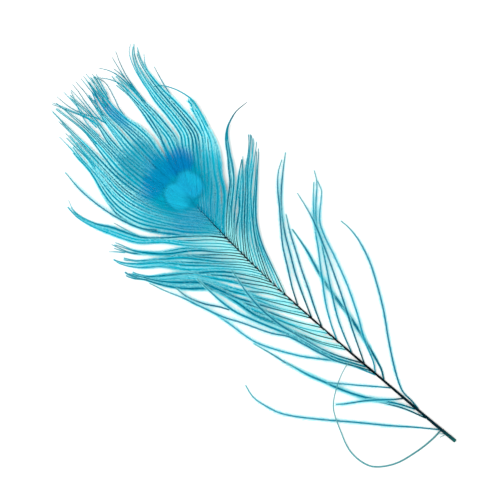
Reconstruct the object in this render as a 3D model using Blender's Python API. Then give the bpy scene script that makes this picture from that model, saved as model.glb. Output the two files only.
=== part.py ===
"""Dyed peacock eye feather, lying face up on a surface.

The shaft runs from its cut quill end (-Y) into the heart of the eye, and the barbs fan out from its two
sides towards the tips (+Y). Barbs that cling together are one thin lofted lock, and each loose barb is its
own tapered blade. All guide points are in millimetres from the quill's cut end: x to the right of the
feather, y along it, seen from above. The finished feather is centred on the origin and rests on z = 0.
"""

import math

import bmesh
import bpy
from mathutils import Vector

MM = 0.001
FEATHER_LENGTH = 290.0
FEATHER_MIDDLE_X = -0.7      # half way between the widest tips
QUILL_RADIUS = 1.0
SHAFT_SIDES = 14
SHAFT_RINGS = 36
SHAFT_RISE_FROM, SHAFT_RISE_TO = 120.0, 165.0    # where the shaft leaves the surface to run level with the vane
ROOT_GAP = 0.35              # from the side of the shaft to the root of a barb
LOCK_GAP = 0.25              # each lock stops this far inside its edge barbs
LOCK_THICKNESS = 0.6
LOCK_ROW = 8.0               # length of one row of a lock
LOCK_COLUMNS = 3
LOCK_MAX_INSET = 0.3         # of its width, where a lock is too narrow for LOCK_GAP
LOCK_ROOT_POWER = 6          # how soon a lock leaves the line of its roots
LOCK_TIP_SHARE = 0.28        # the last part of a lock, which sinks to its tip's height
BLADE_THICKNESS = 0.5
BLADE_STEP = 6.5             # length of one segment of a loose barb
BLADE_MIN_STEPS = 6
BLADE_TAPER = 0.55           # share of its width that a loose barb has lost at its tip
BLADE_ROOT_SHARE = 0.15      # of a loose barb's length, where it leaves its root's height
BLADE_TIP_SHARE = 0.4        # and where it goes to its tip's
VANE_HEIGHT = 1.1            # the flat vane's middle above the surface
EYE_RISE = 1.6               # how much the eye domes above it
EYE_CENTRE = (-1.0, 212.0)
EYE_HALF_SIZE = (28.0, 38.0)
LEFT, RIGHT = -1, 1

SHAFT_LINE = [(-1.1, 0), (-2.2, 20), (-3.4, 50), (-4.5, 75), (-5.2, 100), (-5.7, 130), (-5.0, 160),
              (-3.8, 180), (-2.8, 195), (-1.4, 204)]
SHAFT_RADII = [(0, QUILL_RADIUS), (20, 0.78), (50, 0.64), (100, 0.52), (150, 0.40), (180, 0.28), (204, 0.14)]

# One row per loose barb: name, side of the shaft, root's y, width, heights at root, middle and tip, points.
LOOSE_BARBS = [
    ("left_barb_sweeping", LEFT, 10.7, 1.1, (0.9, 0.6, 0.25),
     [(-10, 20.7), (-20, 33), (-30, 46.2), (-46, 66.8), (-55, 80.5), (-58.6, 93), (-58.9, 99), (-57.1, 105.5)]),
    ("left_barb_low_a", LEFT, 20.5, 0.9, (0.8, 0.6, 0.3),
     [(-7, 32.5), (-12, 42.5), (-18, 53), (-23, 66.5), (-28, 81), (-32.3, 95), (-34.7, 107), (-37.2, 118)]),
    ("left_barb_low_b", LEFT, 28.0, 0.9, (0.8, 1.4, 1.2),
     [(-6.5, 35.5), (-12, 45), (-17, 53), (-22, 63.5), (-26, 75), (-29.5, 85), (-32.3, 97)]),
    ("left_barb_broken_low", LEFT, 37.0, 1.2, (0.8, 2.2, 2.2),
     [(-7, 40.5), (-15, 48.5), (-20, 53), (-27, 58.5), (-30.7, 62)]),
    ("left_barb_broken_high", LEFT, 46.0, 1.2, (0.8, 2.2, 2.2),
     [(-7, 50.5), (-15, 60.5), (-18, 64.5), (-22, 69.5), (-25, 73.5)]),
    ("left_barb_long_a", LEFT, 57.0, 1.0, (0.8, 1.2, 0.5),
     [(-8, 67), (-12, 76), (-18.5, 85.5), (-25, 95), (-33, 110.5), (-36.5, 120.5), (-38.5, 137.5),
      (-40.5, 148.5), (-44.1, 158.5)]),
    ("left_barb_long_b", LEFT, 60.5, 0.8, (0.8, 2.9, 2.6),
     [(-8.4, 69), (-12.6, 77), (-16.2, 88), (-18.6, 97.5), (-21.2, 106.6), (-26.3, 115), (-33, 130.5),
      (-37.5, 140), (-41.5, 152), (-45, 163.5), (-49, 174), (-51.6, 182.5)]),
    ("left_barb_long_c", LEFT, 64.0, 0.8, (0.8, 2.0, 2.2),
     [(-8.5, 72), (-12, 79.5), (-15.2, 88.5), (-17.2, 97), (-19.8, 106.5), (-23.2, 115.5), (-28, 128.5),
      (-31, 138), (-32.1, 150), (-32, 165)]),
    ("left_barb_long_d", LEFT, 67.5, 0.8, (0.8, 2.0, 2.2),
     [(-8.2, 74.5), (-11.4, 81.5), (-14, 89), (-16, 97.5), (-17.9, 106), (-19.6, 115), (-20.3, 128),
      (-19, 140), (-15.5, 154.5)]),
    ("right_barb_sweeping", RIGHT, 27.0, 1.1, (0.8, 0.6, 0.3),
     [(-1.1, 32.5), (-0.6, 40), (5, 50.7), (15, 65), (25, 78), (34, 92), (40, 103), (44.2, 115),
      (45.4, 123), (45.2, 128.5)]),
    ("right_barb_crossing", RIGHT, 52.0, 0.9, (0.8, 0.5, 0.4),
     [(0.2, 57), (4.5, 70.5), (9, 87.5), (11.2, 99), (15, 116), (20.2, 131.5), (23.5, 145)]),
    ("right_barb_long_a", RIGHT, 58.0, 0.9, (0.8, 1.4, 0.8),
     [(0.3, 62.8), (5.5, 74), (13.5, 87), (21.5, 102), (28.5, 118.4), (32.6, 129), (37, 137), (46.5, 144.8),
      (50, 147.7), (52.5, 153)]),
    ("right_barb_long_b", RIGHT, 66.0, 0.8, (0.8, 2.2, 1.6),
     [(0, 73), (5, 82.5), (13, 96.5), (20, 109.5), (28.5, 126), (34.5, 139), (37.5, 147.5), (40, 156.5)]),
    ("right_barb_long_c", RIGHT, 75.0, 0.8, (0.8, 1.4, 0.8),
     [(0, 84.5), (5.5, 95), (14, 107.5), (23, 120), (29, 128.3), (35, 137.6), (42.5, 145), (51.5, 152.6),
      (55.5, 158.2)]),
    ("right_barb_long_d", RIGHT, 86.0, 0.8, (0.8, 1.4, 0.8),
     [(0, 94.5), (6.5, 104.5), (15, 115), (25, 127), (31, 134.6), (37.5, 142), (44, 148.4), (50.5, 154)]),
    ("right_barb_middle_a", RIGHT, 97.0, 1.0, (0.8, 1.0, 0.8),
     [(0, 106.5), (5, 115.5), (10.5, 126), (16, 135.5), (21.5, 145), (27.2, 153.2)]),
    ("right_barb_middle_b", RIGHT, 104.5, 0.9, (0.8, 1.0, 0.6),
     [(0, 114.5), (6, 126), (12, 135.5), (20.5, 148.5), (30, 159.5), (40, 168), (52, 176.7)]),
    ("right_barb_middle_c", RIGHT, 114.5, 0.9, (0.8, 1.8, 1.6),
     [(0, 123.5), (6.5, 133), (13, 142.5), (20, 150.5), (27.5, 158.5), (35, 166.8), (41.5, 172.3),
      (47.7, 175.4)]),
]

# Loose barbs that leave the vane, not the shaft: name, width, heights at both ends, points.
VANE_STRAYS = [
    ("left_barb_forked", 0.7, (2.0, 1.9),
     [(-32.6, 140.5), (-35, 145.5), (-39.5, 153), (-43, 162), (-43.7, 170)]),
    ("left_barb_upright", 0.7, (3.1, 1.2),
     [(-27.5, 199.5), (-32.5, 206.5), (-36.3, 216.5), (-39, 230), (-39.9, 245), (-38.5, 258)]),
]

# The bare filament leaves the quill and curls back over the lower barbs: x, y and height.
FILAMENT_WIDTH = 0.45
FILAMENT = [(-3.0, 9.9, 0.7), (-9, 9.9, 0.5), (-20, 11.6, 0.3), (-32.7, 15.7, 0.3), (-42, 23.2, 0.3),
            (-44.7, 31, 0.4), (-44.2, 40, 0.8), (-40, 50, 1.5), (-34.7, 60, 2.2), (-30, 64.7, 2.9),
            (-20, 70, 3.4), (-12, 72.5, 3.7), (-8, 72.7, 3.8)]
FILAMENT_STEPS = 34

# One row per lock of barbs that cling together: name, side, roots' y from and to, height of the tips above
# the surface, then the points of its lower or outer edge barb and of its upper or inner one.
LOCKS = [
    ("left_lock_a", LEFT, 78.5, 136.0, 0.3,
     [(-11, 89), (-16, 101.5), (-21, 116), (-25.2, 127), (-27, 140), (-30, 153.5), (-38, 163), (-43.5, 170),
      (-48, 177.5), (-51.2, 184), (-55.5, 192), (-57.1, 198.5)],
     [(-9, 142), (-14, 149), (-19, 155.5), (-24, 161.5), (-29, 166.8), (-33, 171), (-37, 175.3),
      (-41, 179), (-45, 182.6), (-50, 186.8), (-54.5, 191.7), (-56.3, 198.3)]),
    ("left_lock_b", LEFT, 136.0, 150.0, 0.4,
     [(-9, 142), (-14, 149), (-19, 155.5), (-24, 161.5), (-29, 166.8), (-33, 171.6), (-40, 183.6),
      (-44, 187.5), (-50, 193), (-55, 200.5), (-56.1, 207.7)],
     [(-9, 155), (-14, 161), (-19, 167), (-24, 173), (-29, 178.8), (-33.5, 183.2), (-40.3, 190),
      (-46.6, 196.5), (-51.8, 203.6), (-55, 208.2)]),
    ("left_lock_c", LEFT, 150.0, 160.0, 1.2,
     [(-9, 155), (-14, 161), (-19, 167), (-24, 173), (-29, 178.8), (-33.2, 183.8), (-39, 192.5),
      (-46.5, 201), (-50.7, 210.5), (-52, 213.7)],
     [(-9, 165), (-14, 171), (-18.5, 176), (-23, 180), (-31, 186.5), (-38, 193.5), (-43.2, 200.5),
      (-46, 206), (-49, 212.5), (-50.4, 214.7)]),
    ("left_lock_d", LEFT, 160.0, 169.0, 0.5,
     [(-9, 165), (-14, 171), (-18.5, 176), (-22.5, 181), (-30, 192), (-37, 199), (-40, 202.5), (-43.5, 209),
      (-49.5, 224), (-52.2, 235.5), (-51.4, 246)],
     [(-9.5, 175.5), (-14, 180.5), (-18.5, 185), (-22.5, 188.8), (-29, 195), (-35, 202), (-38.5, 209),
      (-42.6, 219), (-47.5, 227.5), (-50.2, 238), (-49.5, 246)]),
    ("eye_lock_left_edge", LEFT, 169.0, 175.0, 1.2,
     [(-9.5, 175.5), (-14, 180.5), (-18.5, 185.6), (-22.3, 191.5), (-28.5, 200.5), (-33, 208.5), (-35.5, 218),
      (-35.9, 223), (-34, 234), (-30, 245), (-28.7, 251), (-28.5, 258), (-26.8, 274)],
     [(-9, 182), (-14, 188.5), (-19, 195.5), (-23.5, 203.5), (-27, 212), (-29, 221), (-29.3, 230),
      (-28.3, 238), (-27.4, 245), (-27.3, 252), (-27.3, 258), (-26.0, 274)]),
    ("eye_lock_left_a", LEFT, 175.0, 182.5, 0.8,
     [(-9, 182), (-14, 188.5), (-19, 195.5), (-23.5, 203.5), (-27, 212), (-29, 221), (-29.3, 230),
      (-28.3, 238), (-27.2, 245), (-25.4, 254), (-24.6, 262), (-23.2, 272.5)],
     [(-8, 189), (-13, 196.5), (-17.5, 204.5), (-21, 213), (-23.2, 222), (-23.8, 231), (-23.4, 240),
      (-22.9, 254), (-22.4, 262), (-22.1, 272.5)]),
    ("eye_lock_left_b", LEFT, 182.5, 189.0, 1.8,
     [(-8, 189), (-13, 196.5), (-17.5, 204.5), (-21, 213), (-23.2, 222), (-23.8, 231), (-23.2, 240),
      (-21.4, 256), (-20.6, 267), (-19.4, 287.5)],
     [(-7, 195.5), (-11.5, 203), (-15.5, 211), (-18.3, 220), (-19.6, 230), (-19.9, 240), (-19.4, 256),
      (-18.9, 267), (-18.3, 287.5)]),
    ("eye_lock_left_c", LEFT, 189.0, 194.5, 1.0,
     [(-7, 195.5), (-11.5, 203), (-15.5, 211), (-18.3, 220), (-19.6, 230), (-19.6, 240), (-16.6, 257),
      (-15.3, 266), (-15.5, 278), (-15.9, 289.7)],
     [(-5.5, 201), (-8.5, 209), (-10.7, 218), (-11.8, 228), (-12.2, 238), (-11.2, 248), (-10.9, 255),
      (-10.9, 262), (-11.5, 270), (-12.7, 280), (-14.5, 289.7)]),
    ("eye_lock_left_d", LEFT, 194.5, 199.0, 1.4,
     [(-5.5, 201), (-8.5, 209), (-10.7, 218), (-11.8, 228), (-12.1, 238), (-11.2, 252), (-9.4, 259),
      (-7.8, 266), (-6.9, 274), (-6.8, 289)],
     [(-4, 206), (-5.7, 214), (-7, 223), (-7.9, 233), (-8.4, 241), (-7.2, 252), (-5.5, 262), (-4.8, 271),
      (-5.2, 280), (-5.6, 289)]),
    ("eye_lock_left_e", LEFT, 199.0, 202.3, 0.9,
     [(-4, 206), (-5.7, 214), (-7, 223), (-7.8, 233), (-7.9, 241), (-5.6, 254), (-3, 265), (-1.2, 272),
      (1.7, 279.5)],
     [(-2.6, 210), (-2.2, 220), (-1.6, 230), (-1.0, 240), (-0.7, 252), (-0.6, 262), (1.0, 270),
      (3.4, 279)]),
    ("eye_lock_right_a", RIGHT, 197.0, 203.0, 1.0,
     [(2, 202.6), (7, 208.6), (12, 215.4), (16, 221.5), (18.5, 227), (20.2, 240), (20.3, 250), (20.8, 260),
      (21.6, 269), (21.6, 277.6)],
     [(2.3, 212.5), (5, 221), (7.2, 229), (9.2, 234.5), (12, 243), (14.2, 250), (15.7, 260), (16.7, 269),
      (18.3, 277)]),
    ("eye_lock_right_b", RIGHT, 184.0, 197.0, 0.3,
     [(1.5, 189.5), (7, 195), (13, 201), (19, 207), (24, 212), (28, 216.8), (30.4, 226), (31.7, 240.8),
      (31.7, 248), (33.2, 260), (34.7, 267), (38, 274), (41.3, 279.2)],
     [(2, 202.6), (7, 208.6), (12, 215.4), (16, 221.3), (19.6, 226), (22.4, 238.4), (23.6, 248), (25, 254),
      (28.4, 266), (33.9, 276), (40.4, 280.2)]),
    ("eye_lock_right_edge", RIGHT, 169.0, 184.0, 4.6,
     [(0.5, 173.8), (6, 178.5), (11, 182.8), (15, 187.5), (18.5, 193), (24.5, 200), (29.5, 207.5),
      (33, 217), (37, 228), (38.2, 234), (36.8, 242), (34.6, 248), (32.7, 251), (29.2, 254)],
     [(1.5, 189.5), (7, 195), (13, 201), (19, 207), (24, 212), (28.6, 216.4), (33.5, 227), (35.2, 234),
      (34.3, 241), (32.4, 246), (28.5, 252.5)]),
    ("right_lock_curl", RIGHT, 162.5, 169.0, 4.8,
     [(0, 168), (6.5, 174.2), (13, 179.5), (20.8, 186), (26.5, 192.5), (30.5, 198.6), (35.4, 204.6),
      (40.6, 208.6), (47, 210.6), (50.5, 211), (57.5, 210.2)],
     [(0.5, 173.8), (6, 178.5), (11, 182.3), (18.8, 187.8), (24.3, 194.2), (29.6, 200), (34.4, 205.6),
      (40, 209.8), (47, 212), (50.5, 212.3), (57.5, 211.2)]),
    ("right_lock_d", RIGHT, 154.0, 162.5, 0.8,
     [(-1, 158.5), (4, 163.5), (9, 168), (14, 172.5), (19, 177.2), (24, 182.2), (31, 189.2), (35.9, 194.1)],
     [(0, 168), (6.5, 174.2), (12.5, 178.6), (17, 181.8), (24, 186.4), (30.5, 191.1), (35.1, 194.9)]),
    ("right_lock_c", RIGHT, 147.0, 154.0, 0.6,
     [(-2, 152), (1.5, 157), (5.5, 161.8), (10, 166.3), (15, 171), (20, 175.6), (30, 184.5), (37, 189.6),
      (43, 194.5), (48.4, 200.9)],
     [(-1, 158.5), (4, 163.5), (9, 168), (14, 172.5), (19, 176.9), (24, 181), (30, 186.4), (37, 191.2),
      (42.6, 196), (47.6, 201.5)]),
    ("right_lock_b", RIGHT, 137.0, 147.0, 0.6,
     [(-3, 142), (0, 147.5), (3, 152.5), (6.5, 157.5), (10, 161.7), (14, 166), (18, 170), (25, 176.6),
      (35, 184.8), (41.5, 190), (45.5, 193.2), (48.6, 197.6)],
     [(-2, 152), (1.5, 157), (5.5, 161.8), (10, 166.3), (15, 171), (20, 175.2), (30, 183), (35, 186.9),
      (41, 191.7), (44.7, 194.6), (47.6, 198)]),
    ("right_lock_a", RIGHT, 124.0, 137.0, 0.3,
     [(-2, 132), (1.5, 141), (5.5, 150.5), (10.5, 159), (15, 164.5), (22, 171), (32, 179), (40, 185),
      (45.5, 189.8)],
     [(-3, 142), (0, 147.5), (3, 152.5), (6.5, 157.5), (10, 161.7), (14, 166), (18, 169.8), (25, 175.3),
      (32.5, 180.9), (40.5, 187), (44.9, 190.4)]),
]

# The middle lock grows from the end of the shaft, above the heart of the eye.
CROWN_LOCK_LEFT = [(-1.9, 206.5), (-1.7, 213), (-1.4, 222), (-0.9, 231), (-0.3, 240), (0.4, 252), (0.2, 262),
                   (1.6, 270), (4.1, 279), (5.6, 287)]
CROWN_LOCK_RIGHT = [(0.2, 206.5), (2.0, 213), (4.6, 221.5), (6.6, 229), (8.3, 236), (8.2, 245), (6.9, 252),
                    (6.9, 262), (8.5, 270), (11.3, 279), (12.6, 283.6)]
CROWN_TIP_HEIGHT = 1.6

TURQUOISE = (0.0, 0.33, 0.50)
DEEP_BLUE = (0.0, 0.18, 0.44)
SEA_GREY = (0.05, 0.22, 0.27)
SHAFT_TEAL = (0.002, 0.02, 0.03)
BARB_ROUGHNESS, LOCK_ROUGHNESS, SHAFT_ROUGHNESS = 0.6, 0.55, 0.45
BARB_SMOOTH_ANGLE, LOCK_SMOOTH_ANGLE, SHAFT_SMOOTH_ANGLE = 20, 40, 40
LINE_DETAIL = 12             # steps between two guide points, before a line is spaced evenly
TINY = 1e-6


def clear_scene():
    for thing in list(bpy.data.objects):
        bpy.data.objects.remove(thing)


def smooth_line(points, count):
    """count points, evenly spaced, on a Catmull-Rom curve through the guide points."""
    knots = [Vector(p) for p in points]
    knots = [2 * knots[0] - knots[1]] + knots + [2 * knots[-1] - knots[-2]]
    fine = []
    for i in range(1, len(knots) - 2):
        before, here, there, after = knots[i - 1:i + 3]
        reach = (there - here).length
        pull_in = (there - before) * (reach / (reach + (here - before).length))
        pull_out = (after - here) * (reach / (reach + (after - there).length))
        for k in range(LINE_DETAIL):
            t = k / LINE_DETAIL
            fine.append(here * (2 * t**3 - 3 * t**2 + 1) + pull_in * (t**3 - 2 * t**2 + t)
                        + there * (3 * t**2 - 2 * t**3) + pull_out * (t**3 - t**2))
    fine.append(knots[-2])
    travelled = [0.0]
    for a, b in zip(fine, fine[1:]):
        travelled.append(travelled[-1] + (b - a).length)
    line, k = [], 0
    for i in range(count):
        target = travelled[-1] * i / (count - 1)
        while k < len(fine) - 2 and travelled[k + 1] < target:
            k += 1
        share = (target - travelled[k]) / max(travelled[k + 1] - travelled[k], TINY)
        line.append(fine[k].lerp(fine[k + 1], min(share, 1.0)))
    return line


def line_length(points):
    return sum((Vector(b) - Vector(a)).length for a, b in zip(points, points[1:]))


def look_up(table, y):
    """The value at y in a table of (y, value), straight between its rows."""
    for (y0, v0), (y1, v1) in zip(table, table[1:]):
        if y <= y1:
            return v0 + (v1 - v0) * (y - y0) / (y1 - y0)
    return table[-1][1]


SHAFT_PATH = smooth_line(SHAFT_LINE, 200)


def shaft_x(y):
    return look_up([(p.y, p.x) for p in SHAFT_PATH], y)


def root(side, y):
    """Where a barb starts beside the shaft."""
    return Vector((shaft_x(y) + side * (look_up(SHAFT_RADII, y) + ROOT_GAP), y))


def vane_height(p):
    """Height of the vane's middle above the surface: flat, with a low dome at the eye."""
    across = (p.x - EYE_CENTRE[0]) / EYE_HALF_SIZE[0]
    along = (p.y - EYE_CENTRE[1]) / EYE_HALF_SIZE[1]
    return VANE_HEIGHT + EYE_RISE * math.exp(-across**2 - along**2)


def ease(t):
    t = min(max(t, 0.0), 1.0)
    return t * t * (3 - 2 * t)


def make_node(name, rings, colour, roughness, smooth_angle):
    """One closed solid from rings of points in millimetres, joined end to end and capped."""
    mesh = bmesh.new()
    loops = [[mesh.verts.new(p * MM) for p in ring] for ring in rings]
    for a, b in zip(loops, loops[1:]):
        for i in range(len(a)):
            j = (i + 1) % len(a)
            mesh.faces.new((a[i], a[j], b[j], b[i]))
    mesh.faces.new(list(reversed(loops[0])))
    mesh.faces.new(loops[-1])
    bmesh.ops.triangulate(mesh, faces=mesh.faces[:])
    bmesh.ops.recalc_face_normals(mesh, faces=mesh.faces[:])
    data = bpy.data.meshes.new(name)
    mesh.to_mesh(data)
    mesh.free()
    data.shade_smooth()
    data.set_sharp_from_angle(angle=math.radians(smooth_angle))
    node = bpy.data.objects.new(name, data)
    bpy.context.scene.collection.objects.link(node)
    material = bpy.data.materials.new(name)
    material.use_nodes = True
    shader = material.node_tree.nodes["Principled BSDF"]
    shader.inputs["Base Color"].default_value = (*colour, 1)
    shader.inputs["Roughness"].default_value = roughness
    shader.inputs["Metallic"].default_value = 0.0
    data.materials.append(material)
    return node


def blade(name, line, width, colour):
    """A loose barb: a flat four-sided blade along a line of 3-D points, narrowing to its tip."""
    rings = []
    last = len(line) - 1
    for i, p in enumerate(line):
        ahead = line[min(i + 1, last)] - line[max(i - 1, 0)]
        aside = Vector((-ahead.y, ahead.x, 0)).normalized()
        half = width / 2 * (1 - BLADE_TAPER * (i / last) ** 2)
        up = Vector((0, 0, BLADE_THICKNESS / 2))
        rings.append([p - aside * half, p - up, p + aside * half, p + up])
    return make_node(name, rings, colour, BARB_ROUGHNESS, BARB_SMOOTH_ANGLE)


def loose_barb(name, side, root_y, width, heights, points):
    flat = [root(side, root_y)] + [Vector(p) for p in points]
    count = max(BLADE_MIN_STEPS, round(line_length(flat) / BLADE_STEP)) + 1
    at_root, in_middle, at_tip = heights
    line = []
    for i, p in enumerate(smooth_line(flat, count)):
        s = i / (count - 1)
        height = at_root + (in_middle - at_root) * ease(s / BLADE_ROOT_SHARE)
        height += (at_tip - in_middle) * ease(1 - (1 - s) / BLADE_TIP_SHARE)
        line.append(Vector((p.x, p.y, height)))
    return blade(name, line, width, TURQUOISE)


def vane_stray(name, width, heights, points):
    count = round(line_length(points) / BLADE_STEP) + 1
    line = []
    for i, p in enumerate(smooth_line(points, count)):
        line.append(Vector((p.x, p.y, heights[0] + (heights[1] - heights[0]) * ease(i / (count - 1)))))
    return blade(name, line, width, TURQUOISE)


def lock(name, lower, upper, tip_height, root_at, colour):
    """A thin sheet between two edge barbs. root_at(t) is the root of the barb at t, from lower to upper."""
    rows = round(max(line_length(lower), line_length(upper)) / LOCK_ROW) + 1
    low_line, high_line = smooth_line(lower, rows), smooth_line(upper, rows)
    rings = []
    for i in range(rows):
        s = i / (rows - 1)
        low, high = low_line[i], high_line[i]
        inset = min(LOCK_GAP / max((high - low).length, TINY), LOCK_MAX_INSET)
        top, bottom = [], []
        for j in range(LOCK_COLUMNS + 1):
            t = inset + (1 - 2 * inset) * j / LOCK_COLUMNS
            start = root_at(t) - low_line[0].lerp(high_line[0], t)
            p = low.lerp(high, t) + start * (1 - s) ** LOCK_ROOT_POWER
            sunk = ease(1 - (1 - s) / LOCK_TIP_SHARE)
            height = vane_height(p) + (tip_height - vane_height(p)) * sunk
            top.append(Vector((p.x, p.y, height + LOCK_THICKNESS / 2)))
            bottom.append(Vector((p.x, p.y, height - LOCK_THICKNESS / 2)))
        rings.append(top + bottom[::-1])
    return make_node(name, rings, colour, LOCK_ROUGHNESS, LOCK_SMOOTH_ANGLE)


def rooted_lock(name, side, root_low, root_high, tip_height, lower, upper):
    colour = DEEP_BLUE if name.startswith("eye") else TURQUOISE

    def root_at(t):
        return root(side, root_low + (root_high - root_low) * t)

    lower = [root(side, root_low)] + [Vector(p) for p in lower]
    upper = [root(side, root_high)] + [Vector(p) for p in upper]
    return lock(name, lower, upper, tip_height, root_at, colour)


def crown_lock():
    start_left, start_right = Vector(CROWN_LOCK_LEFT[0]), Vector(CROWN_LOCK_RIGHT[0])
    return lock("eye_lock_crown", CROWN_LOCK_LEFT, CROWN_LOCK_RIGHT, CROWN_TIP_HEIGHT,
                lambda t: start_left.lerp(start_right, t), DEEP_BLUE)


def shaft():
    """Quill and shaft: a round tapered rod, cut square at the quill end, that lies on the surface until it rises
    into the domed vane."""
    rings = []
    for i in range(SHAFT_RINGS):
        y = SHAFT_LINE[0][1] + (SHAFT_LINE[-1][1] - SHAFT_LINE[0][1]) * i / (SHAFT_RINGS - 1)
        radius = look_up(SHAFT_RADII, y)
        risen = ease((y - SHAFT_RISE_FROM) / (SHAFT_RISE_TO - SHAFT_RISE_FROM))
        lift = risen * (vane_height(Vector((shaft_x(y), y))) - radius)
        ring = []
        for k in range(SHAFT_SIDES):
            angle = 2 * math.pi * (k + 0.5) / SHAFT_SIDES
            ring.append(Vector((shaft_x(y) + radius * math.cos(angle), y,
                                radius * (math.cos(math.pi / SHAFT_SIDES) + math.sin(angle)) + lift)))
        rings.append(ring)
    return make_node("shaft", rings, SHAFT_TEAL, SHAFT_ROUGHNESS, SHAFT_SMOOTH_ANGLE)


def filament():
    line = smooth_line(FILAMENT, FILAMENT_STEPS)
    return blade("filament", line, FILAMENT_WIDTH, SEA_GREY)


def build():
    clear_scene()
    nodes = [shaft(), filament(), crown_lock()]
    nodes += [loose_barb(*row) for row in LOOSE_BARBS]
    nodes += [vane_stray(*row) for row in VANE_STRAYS]
    nodes += [rooted_lock(*row) for row in LOCKS]
    feather = bpy.data.objects.new("feather", None)
    bpy.context.scene.collection.objects.link(feather)
    feather.location = (-FEATHER_MIDDLE_X * MM, -FEATHER_LENGTH / 2 * MM, 0)
    for node in nodes:
        node.parent = feather
    bpy.context.view_layer.update()


build()
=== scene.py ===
"""A turquoise-dyed peacock eye feather lying face up: cut quill, shaft, loose barbs, vane and eye.

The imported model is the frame. Guide points are in millimetres from the quill's cut end, x to the right of the
feather and y along it, and at() turns them into the frame's metres.
"""
import math
from collections import namedtuple

import bpy
import numpy as np
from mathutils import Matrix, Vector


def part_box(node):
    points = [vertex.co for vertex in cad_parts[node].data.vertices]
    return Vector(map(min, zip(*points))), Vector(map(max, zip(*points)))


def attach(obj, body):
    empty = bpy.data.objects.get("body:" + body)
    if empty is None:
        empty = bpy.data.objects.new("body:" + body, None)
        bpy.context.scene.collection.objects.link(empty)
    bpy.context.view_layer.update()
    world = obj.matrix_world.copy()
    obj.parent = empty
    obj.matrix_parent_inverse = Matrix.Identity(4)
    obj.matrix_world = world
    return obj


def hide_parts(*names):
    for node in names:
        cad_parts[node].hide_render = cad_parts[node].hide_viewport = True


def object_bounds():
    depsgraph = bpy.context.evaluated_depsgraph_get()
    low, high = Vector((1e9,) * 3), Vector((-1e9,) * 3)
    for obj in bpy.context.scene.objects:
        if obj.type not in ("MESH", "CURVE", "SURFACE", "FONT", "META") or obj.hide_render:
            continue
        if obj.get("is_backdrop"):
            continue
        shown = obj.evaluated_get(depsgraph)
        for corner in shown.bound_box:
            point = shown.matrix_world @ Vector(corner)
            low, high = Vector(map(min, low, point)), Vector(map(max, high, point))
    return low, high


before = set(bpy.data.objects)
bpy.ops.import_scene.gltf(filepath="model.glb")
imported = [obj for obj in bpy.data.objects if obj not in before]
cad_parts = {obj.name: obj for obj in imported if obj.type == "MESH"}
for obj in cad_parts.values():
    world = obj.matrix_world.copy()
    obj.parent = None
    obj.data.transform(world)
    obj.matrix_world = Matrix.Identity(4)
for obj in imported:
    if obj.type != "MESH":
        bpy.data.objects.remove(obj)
CAD_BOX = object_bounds()
bpy.ops.object.select_all(action="DESELECT")

# ---- Camera, floor and light -------------------------------------------------------------------------------
# The feather lies on a plain white sheet under a wide soft light, seen from straight above with a long lens.
MM = 0.001
QUILL_RADIUS = 1.0
SHAFT_LOW, SHAFT_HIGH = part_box("shaft")
QUILL_END = (SHAFT_HIGH.x - QUILL_RADIUS * MM, SHAFT_LOW.y)     # centre of the cut end
QUILL_AXIS_X = -1.1                                             # its x in the feather's own millimetres


def at(x, y, z=0.0):
    """Millimetres on the feather to the frame's metres."""
    return (QUILL_END[0] + (x - QUILL_AXIS_X) * MM, QUILL_END[1] + y * MM, z * MM)


LOOK_AT = at(-0.67, 154.5)
VIEW_TURN = math.radians(-47.2)
VIEW_WIDTH = 275 * MM
LENS, SENSOR = 85.0, 36.0
SHEET_SIZE, SHEET_DEPTH = 4.0, 0.2 * MM     # the sheet lies just clear of the lowest barb

camera_data = bpy.data.cameras.new("camera")
camera_data.lens = LENS
camera_data.sensor_width = SENSOR
camera_data.clip_start, camera_data.clip_end = 0.01, 20
camera = bpy.data.objects.new("camera", camera_data)
bpy.context.scene.collection.objects.link(camera)
camera.location = (LOOK_AT[0], LOOK_AT[1], VIEW_WIDTH * LENS / SENSOR + 2 * MM)
camera.rotation_euler = (0, 0, VIEW_TURN)
bpy.context.scene.camera = camera
bpy.context.scene.view_settings.view_transform = "Standard"


def linear(hex_colour):
    """An sRGB hex value as linear red, green, blue and alpha."""
    channels = [int(hex_colour[i:i + 2], 16) / 255 for i in (1, 3, 5)]
    return (*[c / 12.92 if c <= 0.04045 else ((c + 0.055) / 1.055) ** 2.4 for c in channels], 1.0)


def new_material(name, roughness, specular):
    """A material, its node tree and its shader."""
    material = bpy.data.materials.new(name)
    material.use_nodes = True
    shader = material.node_tree.nodes["Principled BSDF"]
    shader.inputs["Roughness"].default_value = roughness
    shader.inputs["Specular IOR Level"].default_value = specular
    return material, material.node_tree, shader


def add(tree, kind, settings=None, **inputs):
    """One node, its settings, and its inputs: a value, or another node's output that is linked."""
    node = tree.nodes.new(kind)
    for key, value in (settings or {}).items():
        setattr(node, key, value)
    for key, value in inputs.items():
        socket = node.inputs[int(key[1:])] if key[1:].isdigit() else node.inputs[key.replace("_", " ")]
        if isinstance(value, bpy.types.NodeSocket):
            tree.links.new(value, socket)
        else:
            socket.default_value = value
    return node


bpy.ops.mesh.primitive_plane_add(size=SHEET_SIZE, location=(0, 0, -SHEET_DEPTH))
floor = bpy.context.object
floor.name = "white_sheet"
# uncoated paper: matt, and a touch off white
paper, tree, shader = new_material("white_paper", 0.9, 0.1)
shader.inputs["Base Color"].default_value = linear("#F7F7F5")
floor.data.materials.append(paper)
floor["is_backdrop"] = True

world = bpy.data.worlds.new("studio")
world.use_nodes = True
world.node_tree.nodes["Background"].inputs["Color"].default_value = (1, 1, 1, 1)
world.node_tree.nodes["Background"].inputs["Strength"].default_value = 1.0
bpy.context.scene.world = world

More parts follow.
